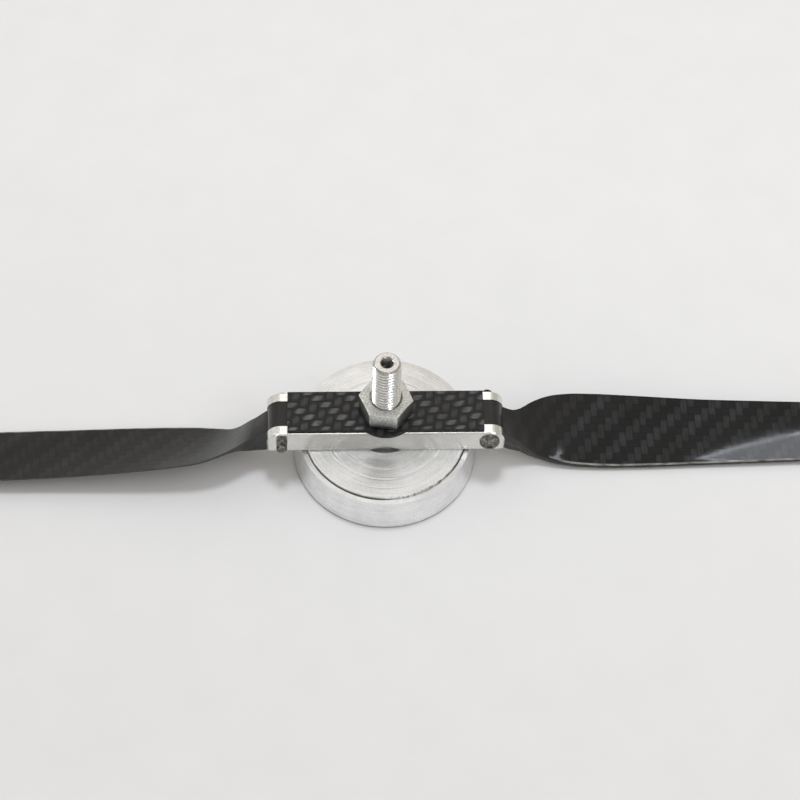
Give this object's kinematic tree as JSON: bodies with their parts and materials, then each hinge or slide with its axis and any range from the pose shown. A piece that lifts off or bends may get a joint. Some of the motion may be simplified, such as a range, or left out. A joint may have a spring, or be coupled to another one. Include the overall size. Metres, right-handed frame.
{
  "type": "folding propeller",
  "caption": "Folding propeller: twisted carbon blades hinged in an aluminium clevis bar that a nut clamps onto a flared collet hub for a motor shaft.",
  "frame": {"origin": "on the shaft axis, in the flat back face of the hub disc", "axes": "+Z along the shaft towards the nut, +X along the hub bar to the right blade, +Y to the right blade's trailing edge"},
  "size_m": [0.33, 0.0506, 0.0426],
  "materials": {
    "turned_aluminium": "turned, fine concentric rings",
    "stud_aluminium": "bright threaded",
    "bar_aluminium": "milled, light tool marks",
    "plate_carbon": "satin twill carbon laminate",
    "nut_steel": "zinc plated",
    "blade_carbon": "clear-coated twill carbon laminate",
    "bush_brass": "plain",
    "screw_steel": "black oxide"
  },
  "bodies": {
    "hub": {"hub_disc": "turned_aluminium", "collet_stud": "stud_aluminium", "yoke": "bar_aluminium", "cover_plate": "plate_carbon", "hub_nut": "nut_steel", "pivot_screw_right": "screw_steel", "pivot_screw_left": "screw_steel"},
    "right_blade": {"blade_right": "blade_carbon", "root_bush_right": "bush_brass"},
    "left_blade": {"blade_left": "blade_carbon", "root_bush_left": "bush_brass"}
  },
  "joints": [
    {"name": "right_fold", "type": "hinge", "parent": "hub", "child": "right_blade", "pos_m": [0.0284, 0, 0.0149], "axis": [0, -1, 0], "range_deg": [0, 93]},
    {"name": "left_fold", "type": "hinge", "parent": "hub", "child": "left_blade", "pos_m": [-0.0284, 0, 0.0149], "axis": [0, 1, 0], "range_deg": [0, 93]}
  ]
}
